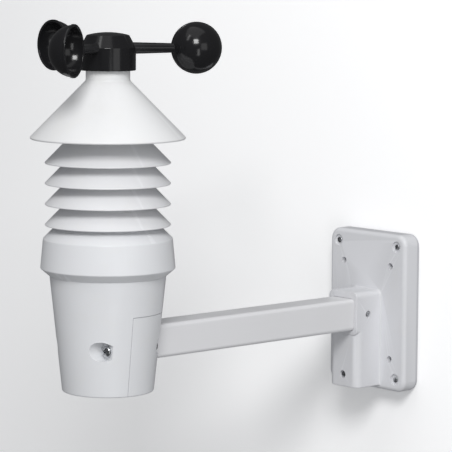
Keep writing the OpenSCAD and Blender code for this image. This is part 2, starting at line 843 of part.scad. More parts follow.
// Half-sphere cup that opens along +Y on a tapered arm that runs along X
module wind_cup() {
    arm_len = cup_orbit - arm_root_x - cup_r / 2;
    difference() {
        union() {
            translate([cup_orbit, 0, 0]) intersection() {
                sphere(r = cup_r);
                translate([-50, -100, -50]) cube([100, 100, 100]);
            }
            translate([cup_orbit, -cup_lip_h, 0]) along_y() cylinder(r = cup_r + cup_lip, h = cup_lip_h);
            translate([arm_root_x, -arm_offset, 0]) rotate([0, 90, 0])
                cylinder(r1 = arm_root_r, r2 = arm_tip_r, h = arm_len);
        }
        translate([cup_orbit, 0, 0]) sphere(r = cup_r - cup_wall);
        translate([cup_orbit, 0, 0]) along_y() cylinder(r = cup_r - cup_wall, h = 20);
    }
}

module placed_cup(number) {
    at_sensor() rotate([0, 0, cup_angle + (number - 1) * 360 / cup_count])
        translate([0, 0, cup_z]) wind_cup();
}

module wind_cup_1() {
    color([0.10, 0.10, 0.11]) placed_cup(1);
}

module wind_cup_2() {
    color([0.10, 0.10, 0.11]) placed_cup(2);
}

module wind_cup_3() {
    color([0.10, 0.10, 0.11]) placed_cup(3);
}

module rotor_shaft() {
    color([0.72, 0.73, 0.75]) at_sensor() translate([0, 0, shaft_low_z])
        cylinder(r = shaft_r, h = shaft_top_z - shaft_low_z);
}

module shaft_screw() {
    disc_h = 0.8;
    color([0.62, 0.63, 0.65]) at_sensor() translate([0, 0, shaft_low_z - disc_h]) cylinder(r = 3, h = disc_h);
}

module rotor_magnet() {
    color([0.45, 0.45, 0.48]) at_sensor() translate([magnet_orbit, 0, magnet_z])
        cylinder(r = magnet_r, h = magnet_h);
}

wall_back_plate();
wall_bracket();
plate_screws();
socket_side_screws();
rib_screw();
arm_tube();
arm_clamp();
arm_cross_pin();
front_shell();
rear_cover();
cover_seal();
front_screws();
rear_screws();
collar();
louvre_1();
louvre_2();
louvre_3();
louvre_4();
shield_tie_screws();
top_cone();
bearing_housing();
housing_screws();
lower_bearing_race();
upper_bearing_race();
reed_switch();
sensor_board();
humidity_sensor();
sensor_cage();
sensor_harness();
main_board();
board_screws();
radio_module();
antenna_coil();
reset_switch();
battery_holder();
battery_cells();
battery_contacts();
rotor_hub();
wind_cup_1();
wind_cup_2();
wind_cup_3();
rotor_shaft();
shaft_screw();
lower_bearing_core();
upper_bearing_core();
rotor_magnet();
reset_button();
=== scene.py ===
"""Looks of the wall-mounted weather sensor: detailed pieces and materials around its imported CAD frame."""
import json
import math

import bmesh
import bpy
from mathutils import Matrix, Vector


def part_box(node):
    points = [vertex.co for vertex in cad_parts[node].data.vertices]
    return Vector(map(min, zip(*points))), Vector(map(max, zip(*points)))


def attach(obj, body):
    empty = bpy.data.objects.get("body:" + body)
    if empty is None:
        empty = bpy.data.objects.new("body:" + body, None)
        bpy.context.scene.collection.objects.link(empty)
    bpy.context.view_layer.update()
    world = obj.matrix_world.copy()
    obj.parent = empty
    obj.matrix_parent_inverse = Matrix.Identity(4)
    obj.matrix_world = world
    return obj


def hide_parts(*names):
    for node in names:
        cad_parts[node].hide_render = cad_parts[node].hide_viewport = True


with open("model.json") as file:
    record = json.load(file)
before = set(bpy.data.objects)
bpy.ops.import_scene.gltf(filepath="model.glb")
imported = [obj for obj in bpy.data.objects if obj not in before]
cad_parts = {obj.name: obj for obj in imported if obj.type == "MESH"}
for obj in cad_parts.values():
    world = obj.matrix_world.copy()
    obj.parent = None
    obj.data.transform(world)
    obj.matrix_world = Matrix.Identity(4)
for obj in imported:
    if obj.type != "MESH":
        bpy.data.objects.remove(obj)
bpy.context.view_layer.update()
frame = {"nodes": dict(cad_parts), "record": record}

MM = 0.001
NODES = frame["nodes"]
SCENE = bpy.context.scene
TURN = 2 * math.pi
TAU_4 = math.pi / 2

# ---------- sizes, from the frame ----------

CONE_LOW, CONE_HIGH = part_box("top_cone")
# Point on the sensor's axis at height 0
SENSOR = Vector(((CONE_LOW.x + CONE_HIGH.x) / 2, (CONE_LOW.y + CONE_HIGH.y) / 2, 0))
PLATE_LOW, PLATE_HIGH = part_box("wall_bracket")
ARM_LOW, ARM_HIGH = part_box("arm_tube")
ARM_Z = (ARM_LOW.z + ARM_HIGH.z) / 2
SHELL_LOW, SHELL_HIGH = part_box("front_shell")
COLLAR_LOW, COLLAR_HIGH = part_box("collar")
HUB_LOW, HUB_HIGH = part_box("rotor_hub")


def middle(node):
    """Centre of a node's box."""
    low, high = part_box(node)
    return (low + high) / 2


# ---------- camera ----------

def make_camera():
    """Camera at the photograph's angle. It aims at a point to the right of the sensor's axis."""
    azimuth, elevation, roll = math.radians(48.42), math.radians(6.59), math.radians(0.32)
    distance, lens = 1.7515, 186.7
    aim_right, aim_up = 0.0882, 0.0897
    back = Vector((math.sin(azimuth) * math.cos(elevation), -math.cos(azimuth) * math.cos(elevation),
                   math.sin(elevation)))
    right = Vector((math.cos(azimuth), math.sin(azimuth), 0))
    place = SENSOR + right * aim_right + Vector((0, 0, aim_up)) + back * distance
    camera = bpy.data.objects.new("camera", bpy.data.cameras.new("camera"))
    camera.data.lens = lens
    camera.rotation_mode = "QUATERNION"
    level = Matrix((right, back.cross(right), back)).transposed()
    camera.rotation_quaternion = (level @ Matrix.Rotation(roll, 3, "Z")).to_quaternion()
    camera.location = place
    SCENE.collection.objects.link(camera)
    SCENE.camera = camera


# ---------- mesh tools ----------

def fillet(points, steps=6):
    """Closed outline from corners (a, b, radius): each corner with a radius becomes an arc."""
    outline = []
    for i, (a, b, radius) in enumerate(points):
        corner = Vector((a, b))
        before = Vector(points[i - 1][:2]) - corner
        after = Vector(points[(i + 1) % len(points)][:2]) - corner
        angle = before.angle(after) if before.length and after.length else math.pi
        if radius <= 0 or angle > math.pi - 1e-3:
            outline.append(corner)
            continue
        u, v = before.normalized(), after.normalized()
        centre = corner + (u + v).normalized() * (radius / math.sin(angle / 2))
        setback = radius / math.tan(angle / 2)
        start, end = corner + u * setback - centre, corner + v * setback - centre
        sweep = math.pi - angle
        side = 1 if start.x * end.y - start.y * end.x > 0 else -1
        for k in range(steps + 1):
            t = side * sweep * k / steps
            outline.append(centre + Vector((start.x * math.cos(t) - start.y * math.sin(t),
                                            start.x * math.sin(t) + start.y * math.cos(t))))
    return outline


def rounded_rect(width, height, radius, steps=8):
    """Outline of a rectangle with round corners, centred on the origin."""
    points = []
    for quarter in range(4):
        sx = 1 if quarter in (0, 3) else -1
        sy = 1 if quarter < 2 else -1
        for k in range(steps + 1):
            t = TAU_4 * (quarter + k / steps)
            points.append(Vector((sx * (width / 2 - radius) + radius * math.cos(t),
                                  sy * (height / 2 - radius) + radius * math.sin(t))))
    return points


def finish_mesh(bm, name):
    """Turns a bmesh into an object with welded points and outward faces."""
    bmesh.ops.remove_doubles(bm, verts=bm.verts, dist=1e-7)
    bmesh.ops.recalc_face_normals(bm, faces=bm.faces)
    mesh = bpy.data.meshes.new(name)
    bm.to_mesh(mesh)
    bm.free()
    piece = bpy.data.objects.new(name, mesh)
    SCENE.collection.objects.link(piece)
    return piece


def lathe(name, outline, segments=160, place=None, closed=True):
    """Turns an outline of (radius, height) about an axis. closed joins its last point to the first."""
    place = place or Matrix.Translation(SENSOR)
    bm = bmesh.new()
    rings = []
    for radius, height in outline:
        if radius < 1e-6:
            rings.append([bm.verts.new(place @ Vector((0, 0, height)))] * segments)
            continue
        rings.append([bm.verts.new(place @ Vector((radius * math.cos(TURN * k / segments),
                                                   radius * math.sin(TURN * k / segments), height)))
                      for k in range(segments)])
    count = len(rings) if closed else len(rings) - 1
    for i in range(count):
        low, high = rings[i], rings[(i + 1) % len(rings)]
        for k in range(segments):
            j = (k + 1) % segments
            corners = list(dict.fromkeys((low[k], low[j], high[j], high[k])))
            if len(corners) > 2:
                bm.faces.new(corners)
    return finish_mesh(bm, name)


def loft(name, rings, closed=False):
    """Skins rings of points. A closed loft joins its last ring to the first. An open one has capped ends."""
    bm = bmesh.new()
    made = [[bm.verts.new(p) for p in ring] for ring in rings]
    count = len(made) if closed else len(made) - 1
    for i in range(count):
        low, high = made[i], made[(i + 1) % len(made)]
        for k in range(len(low)):
            j = (k + 1) % len(low)
            bm.faces.new((low[k], low[j], high[j], high[k]))
    if not closed:
        bm.faces.new(made[0])
        bm.faces.new(made[-1])
    return finish_mesh(bm, name)


def flat_ring(outline, y, x0=0.0, z0=0.0):
    """An outline of (x, z) as points at one depth y."""
    return [Vector((x0 + p[0], y, z0 + p[1])) for p in outline]


def rod(name, start, end, radius, end_radius=None, segments=64, edge=0.0):
    """Round bar between two points, with rounded ends if edge is given."""
    start, end = Vector(start), Vector(end)
    length = (end - start).length
    tip = radius if end_radius is None else end_radius
    outline = fillet([(0, 0, 0), (radius, 0, edge), (tip, length, edge), (0, length, 0)], 4)
    place = Matrix.Translation(start) @ (end - start).to_track_quat("Z", "Y").to_matrix().to_4x4()
    return lathe(name, outline, segments, place, closed=False)


def box(name, low, high):
    """Plain block, used as a cutter."""
    bm = bmesh.new()
    bmesh.ops.create_cube(bm, size=1)
    low, high = Vector(low), Vector(high)
    for v in bm.verts:
        v.co = Vector((low[i] + (v.co[i] + 0.5) * (high[i] - low[i]) for i in range(3)))
    return finish_mesh(bm, name)


def combine(piece, others, operation):
    """Applies boolean operations with the other objects and removes those."""
    for other in others:
        change = piece.modifiers.new("boolean", "BOOLEAN")
        change.operation, change.object, change.solver = operation, other, "MANIFOLD"
    graph = bpy.context.evaluated_depsgraph_get()
    mesh = bpy.data.meshes.new_from_object(piece.evaluated_get(graph))
    piece.modifiers.clear()
    piece.data = mesh
    for other in others:
        bpy.data.objects.remove(other)
    return piece


def join(piece, others):
    """Puts the other objects' meshes into piece as separate closed parts of it."""
    bm = bmesh.new()
    bm.from_mesh(piece.data)
    for other in others:
        bm.from_mesh(other.data)
        bpy.data.objects.remove(other)
    bm.to_mesh(piece.data)
    bm.free()
    return piece


def soften(piece, width, angle=50):
    """Rounds the sharp edges of a piece with a bevel modifier."""
    bevel = piece.modifiers.new("bevel", "BEVEL")
    bevel.width, bevel.segments = width, 2
    bevel.limit_method, bevel.angle_limit = "ANGLE", math.radians(angle)
    bevel.use_clamp_overlap = True


def settle(piece, body, node, slot, sharp=32.0):
    """Last step for a piece: shading, material, the body it rides on and the node it stands for."""
    bm = bmesh.new()
    bm.from_mesh(piece.data)
    bmesh.ops.dissolve_degenerate(bm, edges=bm.edges, dist=2e-6)
    for face in bm.faces:
        face.smooth = True
    for edge in bm.edges:
        edge.smooth = len(edge.link_faces) == 2 and edge.calc_face_angle(0) < math.radians(sharp)
    bm.to_mesh(piece.data)
    bm.free()
    normals = piece.modifiers.new("normals", "WEIGHTED_NORMAL")
    normals.keep_sharp = True
    normals.weight = 100
    piece.data.materials.clear()
    piece.data.materials.append(MATERIALS[slot])
    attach(piece, body)
    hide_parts(node)


# ---------- materials ----------

class Shader:
    """Short way to build one material's node tree."""

    def __init__(self, name):
        self.material = bpy.data.materials.new(name)
        self.material.use_nodes = True
        self.tree = self.material.node_tree
        self.surface = self.tree.nodes["Principled BSDF"]
        self.place = self.add("ShaderNodeTexCoord").outputs["Object"]

    def add(self, kind, **values):
        node = self.tree.nodes.new(kind)
        for key, value in values.items():
            setattr(node, key, value)
        return node

    def link(self, output, target):
        self.tree.links.new(output, target)

    def noise(self, scale, detail=3.0, roughness=0.5, stretch=(1, 1, 1)):
        """Noise of a given scale, in bumps per metre, stretched along the axes."""
        node = self.add("ShaderNodeTexNoise")
        node.inputs["Scale"].default_value = scale
        node.inputs["Detail"].default_value = detail
        node.inputs["Roughness"].default_value = roughness
        if stretch == (1, 1, 1):
            self.link(self.place, node.inputs["Vector"])
        else:
            move = self.add("ShaderNodeMapping")
            move.inputs["Scale"].default_value = stretch
            self.link(self.place, move.inputs["Vector"])
            self.link(move.outputs["Vector"], node.inputs["Vector"])
        return node.outputs["Fac"]

    def ramp(self, value, low, high, start=0.3, end=0.7):
        """Maps a value between start and end to a number or colour between low and high."""
        if isinstance(low, tuple):
            node = self.add("ShaderNodeValToRGB")
            stops = node.color_ramp.elements
            stops[0].position, stops[1].position = start, end
            stops[0].color, stops[1].color = (*low, 1), (*high, 1)
            self.link(value, node.inputs["Fac"])
            return node.outputs["Color"]
        node = self.add("ShaderNodeMapRange")
        node.inputs["From Min"].default_value, node.inputs["From Max"].default_value = start, end
        node.inputs["To Min"].default_value, node.inputs["To Max"].default_value = low, high
        self.link(value, node.inputs["Value"])
        return node.outputs["Result"]

    def mix(self, factor, first, second, kind="MIX"):
        """Mixes two colours by a factor. Each may be a colour or an output."""
        node = self.add("ShaderNodeMix", data_type="RGBA", blend_type=kind)
        for socket, value in ((node.inputs[0], factor), (node.inputs[6], first), (node.inputs[7], second)):
            if isinstance(value, bpy.types.NodeSocket):
                self.link(value, socket)
            elif isinstance(value, tuple):
                socket.default_value = (*value, 1)
            else:
                socket.default_value = value
        return node.outputs[2]

    def edges(self, low, high):
        """1 on convex edges and 0 elsewhere."""
        geometry = self.add("ShaderNodeNewGeometry")
        return self.ramp(geometry.outputs["Pointiness"], 0.0, 1.0, low, high)

    def bump(self, heights, distance, edge_radius=0.0):
        """Bump from several (output, strength) pairs, over rounded edges if a radius is given."""
        normal = None
        if edge_radius:
            rounding = self.add("ShaderNodeBevel", samples=4)
            rounding.inputs["Radius"].default_value = edge_radius
            normal = rounding.outputs["Normal"]
        for height, strength in heights:
            node = self.add("ShaderNodeBump")
            node.inputs["Strength"].default_value = strength
            node.inputs["Distance"].default_value = distance
            self.link(height, node.inputs["Height"])
            if normal:
                self.link(normal, node.inputs["Normal"])
            normal = node.outputs["Normal"]
        self.link(normal, self.surface.inputs["Normal"])

    def set(self, **values):
        """Sets or links the shader's own sockets, by name with _ for a space."""
        for key, value in values.items():
            socket = self.surface.inputs[key.replace("_", " ")]
            if isinstance(value, bpy.types.NodeSocket):
                self.link(value, socket)
            else:
                socket.default_value = (*value, 1) if isinstance(value, tuple) else value
        return self


def white_plastic(name, colour, roughness):
    """Moulded UV-stable plastic: fine spark-eroded grain, slow tone changes, dust and paler edges."""
    s = Shader(name)
    darker = tuple(c * 0.955 for c in colour)
    warm = tuple(c * k for c, k in zip(colour, (0.985, 0.975, 0.94)))
    tone = s.mix(s.ramp(s.noise(14, 4), 0.0, 1.0, 0.35, 0.7), colour, darker)
    tone = s.mix(s.ramp(s.noise(55, 6, 0.65), 0.0, 0.5, 0.52, 0.8), tone, warm)
    streaks = s.ramp(s.noise(90, 3, 0.6, (1, 1, 0.08)), 0.0, 0.16, 0.55, 0.85)
    tone = s.mix(streaks, tone, tuple(c * 0.86 for c in colour))
    pale = tuple(min(1.0, c * 1.05) for c in colour)
    tone = s.mix(s.edges(0.52, 0.6), tone, pale)
    s.set(Base_Color=tone, Specular_IOR_Level=0.42,
          Roughness=s.ramp(s.noise(40, 5), roughness - 0.06, roughness + 0.1, 0.3, 0.75))
    s.bump([(s.noise(2600, 2, 0.6), 0.10), (s.noise(260, 3), 0.05)], 0.06 * MM, 0.25 * MM)
    return s.material


def black_gloss(name):
    """Glossy black moulding with hairline scratches, dust and a slightly wavy surface."""
    s = Shader(name)
    dust = s.ramp(s.noise(900, 4, 0.7), 0.0, 0.22, 0.6, 0.85)
    tone = s.mix(dust, (0.012, 0.012, 0.013), (0.06, 0.06, 0.062))
    tone = s.mix(s.edges(0.53, 0.62), tone, (0.035, 0.035, 0.037))
    scratch = s.noise(420, 2, 0.5, (1, 9, 9))
    s.set(Base_Color=tone, Specular_IOR_Level=0.4, Roughness=s.ramp(scratch, 0.13, 0.24, 0.45, 0.75))
    s.bump([(s.noise(30, 2), 0.08), (scratch, 0.03)], 0.05 * MM, 0.2 * MM)
    return s.material


def metal(name, colour, roughness, brushed=(1, 1, 1)):
    """Bright metal with fine machining lines, stains and paler edges."""
    s = Shader(name)
    stain = s.ramp(s.noise(300, 5, 0.65), 0.0, 0.6, 0.45, 0.8)
    tone = s.mix(stain, colour, tuple(c * 0.62 for c in colour))
    tone = s.mix(s.edges(0.52, 0.6), tone, tuple(min(1.0, c * 1.2) for c in colour))
    lines = s.noise(1800, 3, 0.6, brushed)
    s.set(Base_Color=tone, Metallic=1.0, Roughness=s.ramp(lines, roughness - 0.08, roughness + 0.14))
    s.bump([(lines, 0.12)], 0.03 * MM, 0.05 * MM)
    return s.material


def dull(name, colour, roughness=0.6, grain=1500, depth=0.15):
    """Matt plastic, rubber or ceramic with grain and slow tone changes."""
    s = Shader(name)
    tone = s.mix(s.ramp(s.noise(120, 4), 0.0, 1.0), colour, tuple(c * 0.82 for c in colour))
    tone = s.mix(s.edges(0.52, 0.6), tone, tuple(min(1.0, c * 1.25 + 0.01) for c in colour))
    s.set(Base_Color=tone, Specular_IOR_Level=0.4,
          Roughness=s.ramp(s.noise(200, 3), roughness - 0.08, roughness + 0.1))
    s.bump([(s.noise(grain, 3, 0.6), depth)], 0.05 * MM)
    return s.material


def circuit_board(name):
    """Green solder mask over copper tracks, with glass weave under it."""
    s = Shader(name)
    tracks = s.add("ShaderNodeTexBrick")
    tracks.inputs["Scale"].default_value = 260
    tracks.inputs["Mortar Size"].default_value = 0.08
    turn = s.add("ShaderNodeMapping")
    turn.inputs["Rotation"].default_value = (TAU_4, 0, 0)
    s.link(s.place, turn.inputs["Vector"])
    s.link(turn.outputs["Vector"], tracks.inputs["Vector"])
    weave = s.ramp(s.noise(1300, 1, 0.5, (1, 1, 4)), 0.0, 0.3)
    tone = s.mix(tracks.outputs["Fac"], (0.02, 0.16, 0.06), (0.05, 0.30, 0.12))
    tone = s.mix(weave, tone, (0.03, 0.20, 0.09))
    s.set(Base_Color=tone, Roughness=s.ramp(s.noise(500, 2), 0.22, 0.38), Coat_Weight=0.4)
    s.bump([(tracks.outputs["Fac"], 0.2)], 0.04 * MM)
    return s.material


def wound_wire(name, colour, turns):
    """Enamelled wire wound on a vertical tube, with painted shade in the grooves between its turns."""
    s = Shader(name)
    wave = s.add("ShaderNodeTexWave", bands_direction="Z", wave_profile="SIN")
    wave.inputs["Scale"].default_value = turns
    wave.inputs["Distortion"].default_value = 0.0
    s.link(s.place, wave.inputs["Vector"])
    # Painted shade: the colour falls to a third in the valleys between the wire's turns.
    tone = s.mix(wave.outputs["Fac"], tuple(c * 0.35 for c in colour), colour)
    s.set(Base_Color=tone, Metallic=1.0, Roughness=s.ramp(s.noise(400, 3), 0.22, 0.36))
    s.bump([(wave.outputs["Fac"], 0.9)], 0.3 * MM)
    return s.material


def glass(name):
    """Thin greenish glass tube with faint draw lines."""
    s = Shader(name)
    lines = s.noise(700, 2, 0.5, (1, 0.1, 1))
    s.set(Base_Color=s.mix(s.ramp(lines, 0.0, 0.4), (0.75, 0.9, 0.86), (0.55, 0.78, 0.72)),
          Transmission_Weight=0.9, IOR=1.48, Roughness=s.ramp(lines, 0.03, 0.1))
    s.bump([(lines, 0.05)], 0.02 * MM)
    return s.material


def cell_film(name):
    """Printed film round a battery cell, with a bare steel rim at its top end."""
    s = Shader(name)
    height = s.add("ShaderNodeSeparateXYZ")
    s.link(s.place, height.inputs[0])
    low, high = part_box("battery_cells")
    rim = 1.6 * MM
    top = s.ramp(height.outputs["Z"], 0.0, 1.0, high.z - 2.2 * rim, high.z - 2.1 * rim)
    band_z = low.z + 0.68 * (high.z - low.z)
    band = s.ramp(height.outputs["Z"], 0.0, 1.0, band_z, band_z + 0.5 * MM)
    film = s.mix(band, (0.03, 0.07, 0.22), (0.55, 0.33, 0.08))
    tone = s.mix(top, film, (0.6, 0.6, 0.62))
    s.set(Base_Color=s.mix(s.ramp(s.noise(300, 4), 0.0, 0.25), tone, (0.02, 0.02, 0.02)), Metallic=top,
          Roughness=s.ramp(s.noise(150, 3), 0.2, 0.36), Coat_Weight=0.3)
    s.bump([(s.noise(80, 2), 0.2)], 0.05 * MM)
    return s.material


MATERIALS = {
    "housing_white": white_plastic("housing_white", (0.79, 0.80, 0.82), 0.36),
    "shield_white": white_plastic("shield_white", (0.80, 0.805, 0.82), 0.40),
    "cone_white": white_plastic("cone_white", (0.84, 0.845, 0.85), 0.40),
    "bracket_white": white_plastic("bracket_white", (0.76, 0.765, 0.79), 0.38),
    "panel_grey": white_plastic("panel_grey", (0.62, 0.63, 0.655), 0.55),
    "arm_white": white_plastic("arm_white", (0.77, 0.77, 0.785), 0.34),
    "rotor_black": black_gloss("rotor_black"),
    "screw_steel": metal("screw_steel", (0.62, 0.63, 0.65), 0.24),
    "bearing_steel": metal("bearing_steel", (0.72, 0.73, 0.75), 0.16, (1, 1, 6)),
    "inner_dark": dull("inner_dark", (0.05, 0.05, 0.055), 0.55),
    "inner_grey": dull("inner_grey", (0.32, 0.33, 0.35), 0.5),
    "seal_rubber": dull("seal_rubber", (0.02, 0.02, 0.022), 0.75, 2500, 0.3),
    "board_green": circuit_board("board_green"),
    "chip_white": dull("chip_white", (0.75, 0.75, 0.73), 0.5),
    "shield_can": metal("shield_can", (0.75, 0.76, 0.78), 0.3, (1, 1, 9)),
    "cable_black": dull("cable_black", (0.02, 0.02, 0.022), 0.5, 900, 0.25),
    "contact_metal": metal("contact_metal", (0.78, 0.70, 0.45), 0.22),
    "antenna_copper": wound_wire("antenna_copper", (0.72, 0.36, 0.16), 900),
    "cell_jacket": cell_film("cell_jacket"),
    "magnet_dark": metal("magnet_dark", (0.42, 0.42, 0.45), 0.3),
    "reed_glass": glass("reed_glass"),
    "button_red": dull("button_red", (0.45, 0.03, 0.025), 0.45),
}


def finish_cad_nodes():
    """Gives every CAD node the material of its slot in the record."""
    for part in frame["record"]["subparts"]:
        mesh = NODES[part["node"]].data
        mesh.materials.clear()
        mesh.materials.append(MATERIALS[part["material_slot"]])


# ---------- pieces: shield and housing ----------

WALL = 2.2 * MM
TIE_ORBIT, TIE_POST_R, TIE_BORE_R, TIE_ANGLES = 25.5 * MM, 3.4 * MM, 1.56 * MM, (30, 150, 270)


def tie_rods(name, low, high, radius, segments, edge=0.0):
    """One upright bar on each of the three tie positions about the sensor's axis."""
    rods = []
    for angle in TIE_ANGLES:
        a = math.radians(angle)
        foot = SENSOR + Vector((TIE_ORBIT * math.cos(a), TIE_ORBIT * math.sin(a), low))
        head = foot + Vector((0, 0, high - low))
        rods.append(rod(f"{name}_{angle}", foot, head, radius, None, segments, edge))
    return rods


def tie_posts(name, low, high):
    """Bosses that the long tie screws run through."""
    return tie_rods(name, low, high, TIE_POST_R, 40, 0.3 * MM)


def tie_bores(name, low, high):
    """Cutters for the tie screws' clearance holes."""
    return tie_rods(name, low, high, TIE_BORE_R, 32)


def make_cone():
    """Cone cap with a rounded rim, a soft root at its neck and bosses under it."""
    rim_r, low, top = CONE_HIGH.x, CONE_LOW.z, CONE_HIGH.z
    neck_r, ledge_r, ledge_top, ledge_low = 16.5 * MM, 9.4 * MM, top - 3 * MM, top - 5 * MM
    neck_z = low + 2 * MM + rim_r - neck_r
    outline = fillet([
        (rim_r - 1 * MM, low, 0), (rim_r + 1.36 * MM, low, 0.98 * MM), (neck_r, neck_z, 2.5 * MM),
        (neck_r, top, 0.5 * MM), (neck_r - WALL, top, 0.3 * MM), (neck_r - WALL, ledge_top, 0),
        (ledge_r, ledge_top, 0.2 * MM), (ledge_r, ledge_low, 0.2 * MM), (neck_r - WALL, ledge_low, 0),
        (neck_r - WALL, neck_z - 1 * MM, 2 * MM)], 8)
    cone = lathe("cone_cap", outline, 192)
    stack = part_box("louvre_4")[1].z
    posts = tie_posts("cone_post", stack, low + 30.1 * MM)
    combine(cone, posts, "UNION")
    bore_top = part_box("shield_tie_screws")[1].z + 1 * MM
    combine(cone, tie_bores("cone_bore", stack - 1 * MM, bore_top), "DIFFERENCE")
    settle(cone, "station", "top_cone", "cone_white")


def make_louvre(number, below):
    """Sloping plate with a rounded rim, a flat inner ring and three bosses down to the part below."""
    low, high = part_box(f"louvre_{number}")
    rim_r, ring_r = high.x, 30 * MM
    outline = fillet([
        (rim_r - 0.6 * MM, low.z, 0), (rim_r + 0.8 * MM, low.z, 0.58 * MM), (ring_r, high.z, 1.2 * MM),
        (21.5 * MM, high.z, 0.3 * MM), (21.5 * MM, high.z - 2 * MM, 0.3 * MM),
        (ring_r - 0.8 * MM, high.z - 2 * MM, 1 * MM)], 6)
    plate = lathe(f"louvre_plate_{number}", outline, 192)
    combine(plate, tie_posts(f"louvre_post_{number}", below, high.z - 0.4 * MM), "UNION")
    combine(plate, tie_bores(f"louvre_bore_{number}", below - 1 * MM, high.z + 1 * MM), "DIFFERENCE")
    settle(plate, "station", f"louvre_{number}", "shield_white")


def make_collar():
    """Widest ring of the housing: lower chamfer, nearly upright band, sloping shoulder and flat deck."""
    low, high = COLLAR_LOW, COLLAR_HIGH
    top_r, base_z = SHELL_HIGH.x, SHELL_HIGH.z
    shoulder_r, shoulder_z = 48.5 * MM, 80.1 * MM
    band_z = base_z + 5.9 * MM
    outline = fillet([
        (top_r, base_z, 0.3 * MM), (high.x, band_z, 1.2 * MM), (shoulder_r, shoulder_z, 1.6 * MM),
        (30 * MM, high.z, 1.2 * MM), (10 * MM, high.z, 0.4 * MM), (10 * MM, high.z - 2 * MM, 0.2 * MM),
        (29 * MM, high.z - 2 * MM, 1 * MM), (shoulder_r - WALL, shoulder_z - 1 * MM, 1.5 * MM),
        (high.x - WALL, band_z + 1 * MM, 1 * MM), (top_r - WALL - 2.2 * MM, base_z + 1.2 * MM, 0),
        (top_r - WALL - 2.2 * MM, low.z, 0.2 * MM), (top_r - WALL - 0.9 * MM, low.z, 0.2 * MM),
        (top_r - WALL - 0.4 * MM, base_z, 0)], 8)
    ring = lathe("collar_ring", outline, 192)
    cable_x = 18 * MM * math.sin(math.pi / 4)
    harness = SENSOR + Vector((cable_x, -cable_x, high.z - 6 * MM))
    bores = tie_bores("collar_bore", high.z - 6 * MM, high.z + 2 * MM)
    harness_top = harness + Vector((0, 0, 12 * MM))
    bores.append(rod("collar_cable_hole", harness, harness_top, 1.8 * MM, segments=32))
    combine(ring, bores, "DIFFERENCE")
    settle(ring, "station", "collar", "housing_white")


POCKET_X, POCKET_R, POCKET_FLOOR, POCKET_WALL = 26.4 * MM, 7.3 * MM, 21 * MM, 1.8 * MM
COVER_TOP, SEAM_Y, SEAM_GAP = 25.2 * MM, 8.3 * MM, 0.35 * MM


def taper(name, outer_inset=0.0, hollow=True):
    """The tapered tub, or a plain cone inside its outline."""
    base_r, top_r = 34.5 * MM - outer_inset, SHELL_HIGH.x - outer_inset
    low, top = SHELL_LOW.z, SHELL_HIGH.z
    slope = (top_r - base_r) / (top - low)
    side = [(base_r + slope * h, low + h, 0) for h in ((top - low) * k / 30 for k in range(1, 30))]
    outline = [(0, low, 0), (base_r, low, 1.2 * MM), *side, (top_r, top, 0.3 * MM)]
    if hollow:
        outline += [(top_r - WALL, top, 0.3 * MM), (base_r - WALL + slope * WALL, low + WALL, 1.5 * MM),
                    (0, low + WALL, 0)]
    else:
        outline += [(0, top, 0)]
    return lathe(name, fillet(outline, 8), 192, closed=False)


def pocket_tubes(name, side, radius, near, far):
    """One bar per screw pocket along Y, between two distances from the sensor's axis."""
    bars = []
    for x in (-POCKET_X, POCKET_X):
        start, end = (SENSOR + Vector((x, side * d, 0)) for d in (near, far))
        bars.append(rod(f"{name}_{len(bars)}", start, end, radius, segments=72))
    return bars


def make_shell(name, node, side, clamp_y):
    """Front shell (side -1) or rear cover (side +1) with its screw pockets."""
    shell = taper(name)
    seam = box("seam_block", (-0.2, SENSOR.y - SEAM_Y + (SEAM_GAP if side > 0 else 0), -0.2),
               (0.2, SENSOR.y + 0.2, COVER_TOP - (SEAM_GAP if side > 0 else 0)))
    combine(shell, [seam], "INTERSECT" if side > 0 else "DIFFERENCE")
    wall_r, wall_start = POCKET_R + POCKET_WALL, POCKET_FLOOR - POCKET_WALL
    for wall in pocket_tubes("pocket_wall", side, wall_r, wall_start, 60 * MM):
        combine(wall, [taper("limit", 0.4 * MM, hollow=False)], "INTERSECT")
        combine(shell, [wall], "UNION")
    bosses = pocket_tubes("pocket_boss", side, 4.2 * MM, clamp_y, POCKET_FLOOR - 0.5 * MM)
    combine(shell, bosses, "UNION")
    if side > 0:
        sleeve = arm_bar("sleeve", 30.8 * MM, 5.4 * MM, SENSOR.y + clamp_y, SENSOR.y + 33.5 * MM)
        combine(shell, [sleeve], "UNION")
        bore = arm_bar("sleeve_bore", 26.4 * MM, 3.2 * MM, SENSOR.y + clamp_y - 1 * MM, SENSOR.y + 60 * MM)
        drain = SENSOR + Vector((0, 14 * MM, SHELL_LOW.z - 1 * MM))
        combine(shell, [bore, rod("drain", drain, drain + Vector((0, 0, 6 * MM)), 1.5 * MM)], "DIFFERENCE")
    combine(shell, pocket_tubes("pocket_cut", side, POCKET_R, POCKET_FLOOR, 80 * MM), "DIFFERENCE")
    combine(shell, pocket_tubes("pocket_bore", side, 2.06 * MM, 0, 30 * MM), "DIFFERENCE")
    soften(shell, 0.3 * MM)
    settle(shell, "station", node, "housing_white")


# ---------- pieces: screws ----------

